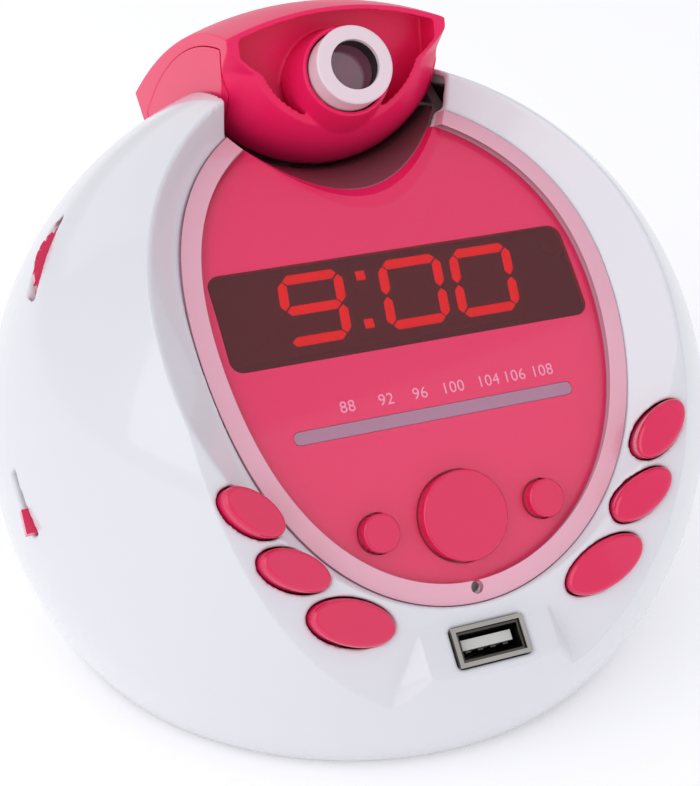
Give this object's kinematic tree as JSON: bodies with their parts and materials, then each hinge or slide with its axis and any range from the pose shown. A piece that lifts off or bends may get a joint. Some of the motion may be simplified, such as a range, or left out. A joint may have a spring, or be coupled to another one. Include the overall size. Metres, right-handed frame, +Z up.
{
  "type": "projection alarm clock",
  "caption": "Ball-shaped radio alarm clock with a leaning oval dial, lit digits, tuning scale, press keys, USB socket and a swivelling time projector on top",
  "frame": {"origin": "on the shelf, under the middle of the object's box", "axes": "+Z up, the dial looks towards -Y, +X to the viewer's right"},
  "size_m": [0.14, 0.1379, 0.1211],
  "materials": {
    "white_gloss": "polished white",
    "white_satin": "satin",
    "cradle_mauve": "polished",
    "dial_pink": "printed",
    "clear": "clear",
    "smoke": "tinted",
    "head_pink": "satin",
    "key_pink": "polished",
    "ring_silver": "pearl",
    "optic": "coated",
    "led_black": "matt",
    "led_red": "lit",
    "board_green": "lacquered",
    "part_black": "matt",
    "steel": "plated",
    "gold": "plated",
    "iron": "zinc",
    "paper": "paper",
    "rubber": "matt",
    "cell": "wrapped",
    "can": "sleeved"
  },
  "bodies": {
    "body": {"alarm_lamp": "led_red", "alarm_switch": "part_black", "backup_cells": "cell", "base_plate": "white_satin", "battery_contacts": "steel", "board_capacitors": "can", "board_chips": "part_black", "clear_lens": "clear", "dc_jack": "part_black", "dial_board": "board_green", "dial_plate": "dial_pink", "dial_window": "clear", "display_window": "smoke", "feet": "rubber", "front_shell": "white_gloss", "function_switch": "part_black", "led_display": "led_black", "left_key_board": "board_green", "lit_segments": "led_red", "main_board": "board_green", "pointer_guide": "part_black", "projector_cradle": "cradle_mauve", "rear_cover": "white_gloss", "right_key_board": "board_green", "screws": "steel", "speaker_cone": "paper", "speaker_frame": "steel", "speaker_magnet": "iron", "tact_switches": "part_black", "tuning_capacitor": "part_black", "usb_contacts": "gold", "usb_shell": "steel", "usb_surround": "part_black", "usb_tongue": "part_black", "volume_pot": "part_black"},
    "head": {"projector_housing": "head_pink", "projector_bezel": "head_pink", "projector_cap_left": "head_pink", "projector_cap_right": "head_pink", "lens_barrel": "part_black", "projector_lcd": "optic", "projector_lamp": "part_black"},
    "focus": {"focus_ring": "ring_silver"},
    "lens": {"projector_lens": "optic"},
    "volume": {"volume_wheel": "key_pink"},
    "tuning": {"tuning_wheel": "key_pink"},
    "pointer": {"dial_pointer": "clear"},
    "function_knob": {"function_slider": "key_pink"},
    "alarm_knob": {"alarm_slider": "key_pink"},
    "door": {"battery_door": "white_satin"},
    "snooze_key": {"snooze_button": "key_pink"},
    "hour_key": {"hour_button": "key_pink"},
    "minute_key": {"minute_button": "key_pink"},
    "alarm_off_key": {"alarm_off_button": "key_pink"},
    "play_key": {"play_button": "key_pink"},
    "projection_key": {"projection_button": "key_pink"},
    "next_key": {"next_button": "key_pink"},
    "sleep_key": {"sleep_button": "key_pink"},
    "previous_key": {"previous_button": "key_pink"}
  },
  "joints": [
    {"name": "projector_tilt", "type": "hinge", "parent": "body", "child": "head", "pos_m": [0, 0, 0.0406], "axis": [-1, 0, 0], "range_deg": [-8, 56]},
    {"name": "focus_turn", "type": "hinge", "parent": "head", "child": "focus", "pos_m": [0, -0.0002, 0.113], "axis": [0, -0.8387, 0.5446], "range_deg": [-90, 90]},
    {"name": "lens_focus", "type": "slide", "parent": "head", "child": "lens", "axis": [0, -0.8387, 0.5446], "range_m": [-0.0012, 0.0012]},
    {"name": "volume_turn", "type": "hinge", "parent": "body", "child": "volume", "pos_m": [-0.04861, 0.00528, 0.07642], "axis": [0, -0.6871, 0.7266], "range_deg": [0, 270]},
    {"name": "tuning_turn", "type": "hinge", "parent": "body", "child": "tuning", "pos_m": [0.04861, 0.00528, 0.07642], "axis": [0, -0.6871, 0.7266], "range_deg": [-11.5, 148]},
    {"name": "pointer_slide", "type": "slide", "parent": "body", "child": "pointer", "axis": [1, 0, 0], "range_m": [-0.0035, 0.0445]},
    {"name": "function_slide", "type": "slide", "parent": "body", "child": "function_knob", "axis": [0, 0.7266, 0.6871], "range_m": [0, 0.0071]},
    {"name": "alarm_slide", "type": "slide", "parent": "body", "child": "alarm_knob", "axis": [0, 0.7266, 0.6871], "range_m": [0, 0.0071]},
    {"name": "snooze_press", "type": "slide", "parent": "body", "child": "snooze_key", "axis": [0, 0.8363, -0.5482], "range_m": [0, 0.0007], "stiffness_N_per_m": 800},
    {"name": "hour_press", "type": "slide", "parent": "body", "child": "hour_key", "axis": [0, 0.8363, -0.5482], "range_m": [0, 0.0007], "stiffness_N_per_m": 800},
    {"name": "minute_press", "type": "slide", "parent": "body", "child": "minute_key", "axis": [0, 0.8363, -0.5482], "range_m": [0, 0.0007], "stiffness_N_per_m": 800},
    {"name": "alarm_off_press", "type": "slide", "parent": "body", "child": "alarm_off_key", "axis": [-0.2092, 0.7821, -0.5869], "range_m": [0, 0.0007], "stiffness_N_per_m": 800},
    {"name": "play_press", "type": "slide", "parent": "body", "child": "play_key", "axis": [0.2092, 0.7821, -0.5869], "range_m": [0, 0.0007], "stiffness_N_per_m": 800},
    {"name": "projection_press", "type": "slide", "parent": "body", "child": "projection_key", "axis": [-0.1756, 0.8169, -0.5495], "range_m": [0, 0.0007], "stiffness_N_per_m": 800},
    {"name": "next_press", "type": "slide", "parent": "body", "child": "next_key", "axis": [0.1756, 0.8169, -0.5495], "range_m": [0, 0.0007], "stiffness_N_per_m": 800},
    {"name": "sleep_press", "type": "slide", "parent": "body", "child": "sleep_key", "axis": [-0.1258, 0.8562, -0.5012], "range_m": [0, 0.0007], "stiffness_N_per_m": 800},
    {"name": "previous_press", "type": "slide", "parent": "body", "child": "previous_key", "axis": [0.1258, 0.8562, -0.5012], "range_m": [0, 0.0007], "stiffness_N_per_m": 800},
    {"name": "door_hinge", "type": "hinge", "parent": "body", "child": "door", "pos_m": [0, 0.0115, 0.001], "axis": [-1, 0, 0], "range_deg": [0, 85]}
  ],
  "couplings": [
    {"joint": "lens_focus", "follows": "focus_turn", "m_per_rad": 0.00075},
    {"joint": "pointer_slide", "follows": "tuning_turn", "m_per_rad": 0.0172}
  ]
}
